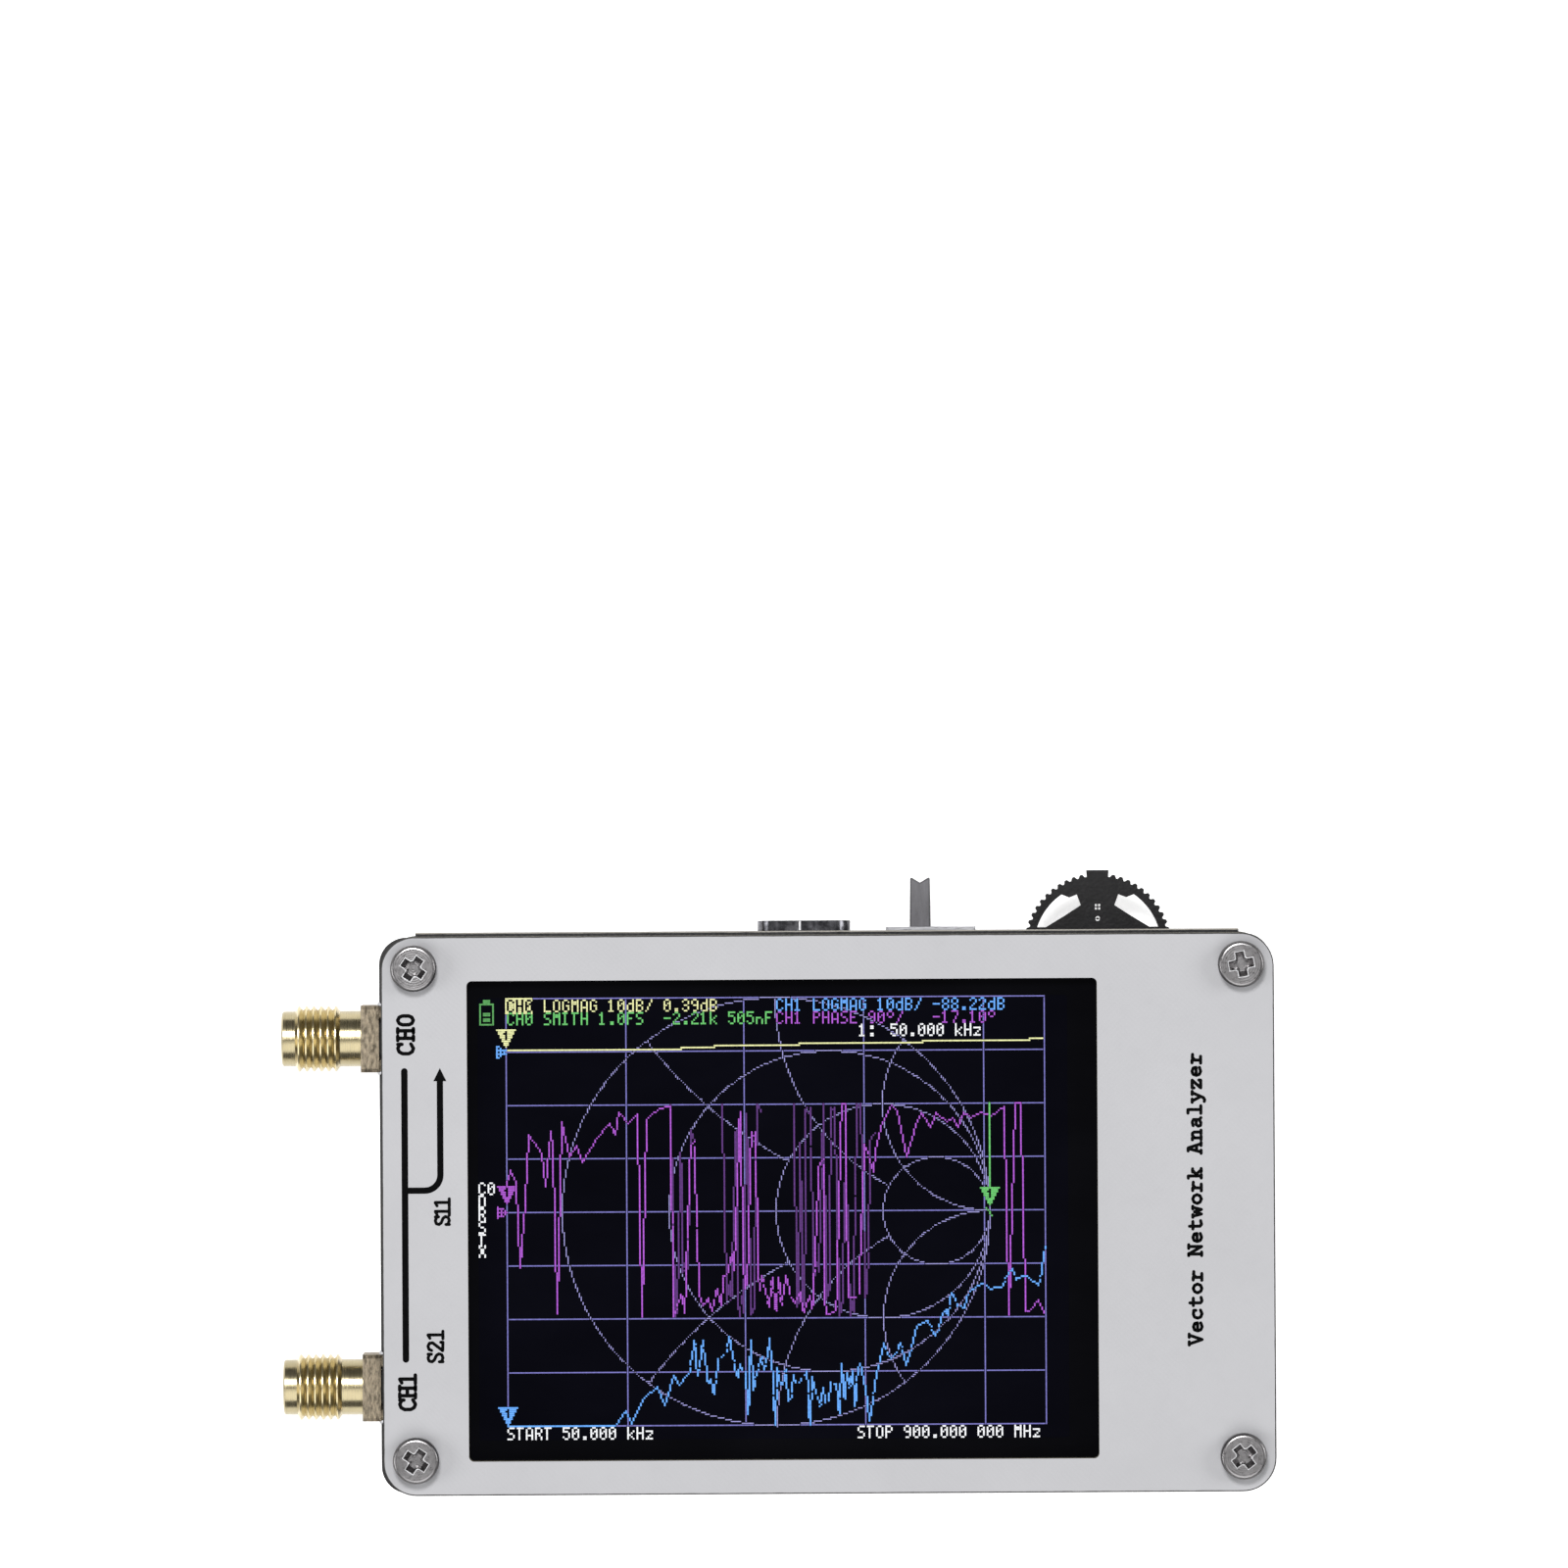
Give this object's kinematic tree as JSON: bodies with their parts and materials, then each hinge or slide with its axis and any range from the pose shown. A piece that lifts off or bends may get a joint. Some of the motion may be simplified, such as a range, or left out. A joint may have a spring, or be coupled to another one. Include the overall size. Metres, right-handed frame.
{
  "type": "vector network analyzer",
  "caption": "Handheld network analyzer: open stack of boards around a touch display, coaxial ports on one edge, USB socket, slide switch and jog wheel on another.",
  "frame": {"origin": "on the table under the middle of the bounding box, with the instrument lying on its rear screw heads", "axes": "+Z out of the screen, +X away from the coaxial ports along the long side, +Y towards the edge with the USB socket"},
  "size_m": [0.0952, 0.0596, 0.0142],
  "materials": {
    "panel_board": "light grey solder mask, satin",
    "black_board": "black solder mask, satin",
    "screw_steel": "nickel plated, satin",
    "standoff_brass": "turned, bright",
    "foam_tape": "closed-cell foam",
    "backlight_frame": "white moulded frame",
    "display": "lit display",
    "touch_glass": "clear glass with a black border",
    "flex_film": "amber polyimide",
    "socket_white": "moulded nylon",
    "gold_plate": "gold plated, bright",
    "ptfe": "white fluoropolymer",
    "tin_plate": "tin plated",
    "black_moulding": "moulded, fine texture",
    "lever_grey": "moulded, fine texture",
    "chip_black": "moulded epoxy",
    "ceramic_tan": "fired ceramic",
    "resistor_black": "fired ceramic",
    "ferrite": "moulded ferrite",
    "lamp": "clear resin",
    "pouch": "laminated foil",
    "lead_covering": "silicone covering"
  },
  "bodies": {
    "chassis": {"front_panel": "panel_board", "rear_panel": "panel_board", "main_board": "black_board", "front_screws": "screw_steel", "rear_screws": "screw_steel", "front_standoffs": "standoff_brass", "rear_standoffs": "standoff_brass", "lcd_tape": "foam_tape", "lcd_backlight": "backlight_frame", "lcd_cell": "display", "touch_panel": "touch_glass", "lcd_flex": "flex_film", "lcd_connector": "socket_white", "port_ch0_shell": "gold_plate", "port_ch1_shell": "gold_plate", "port_ch0_insulator": "ptfe", "port_ch1_insulator": "ptfe", "port_ch0_contact": "gold_plate", "port_ch1_contact": "gold_plate", "usb_shell": "tin_plate", "usb_tongue": "black_moulding", "usb_contacts": "gold_plate", "power_switch_case": "tin_plate", "power_switch_base": "black_moulding", "power_switch_pins": "tin_plate", "jog_base": "black_moulding", "jog_cover": "tin_plate", "jog_terminals": "tin_plate", "mcu_package": "chip_black", "mcu_leads": "tin_plate", "codec_package": "chip_black", "clock_package": "chip_black", "clock_leads": "tin_plate", "mixer_packages": "chip_black", "mixer_leads": "tin_plate", "crystals": "tin_plate", "charger_package": "chip_black", "charger_leads": "tin_plate", "chip_capacitors": "ceramic_tan", "chip_resistors": "resistor_black", "power_inductor": "ferrite", "status_leds": "lamp", "battery_tape": "foam_tape", "battery_cell": "pouch", "battery_connector": "socket_white", "battery_plug": "socket_white", "battery_leads": "lead_covering"},
    "switch_slider": {"power_slider": "lever_grey"},
    "jog_carriage": {"jog_carriage": "black_moulding"},
    "jog_wheel": {"jog_wheel": "black_moulding"}
  },
  "joints": [
    {"name": "power_slide", "type": "slide", "parent": "chassis", "child": "switch_slider", "axis": [1, 0, 0], "range_m": [0, 0.002]},
    {"name": "jog_push", "type": "slide", "parent": "chassis", "child": "jog_carriage", "axis": [0, -1, 0], "range_m": [0, 0.0005], "stiffness_N_per_m": 800, "springref_m": -0.0005},
    {"name": "jog_turn", "type": "hinge", "parent": "jog_carriage", "child": "jog_wheel", "pos_m": [0.03095, 0.02235, 0.0048], "axis": [0, 0, 1], "range_deg": [-10, 10], "stiffness_Nm_per_rad": 0.02}
  ]
}
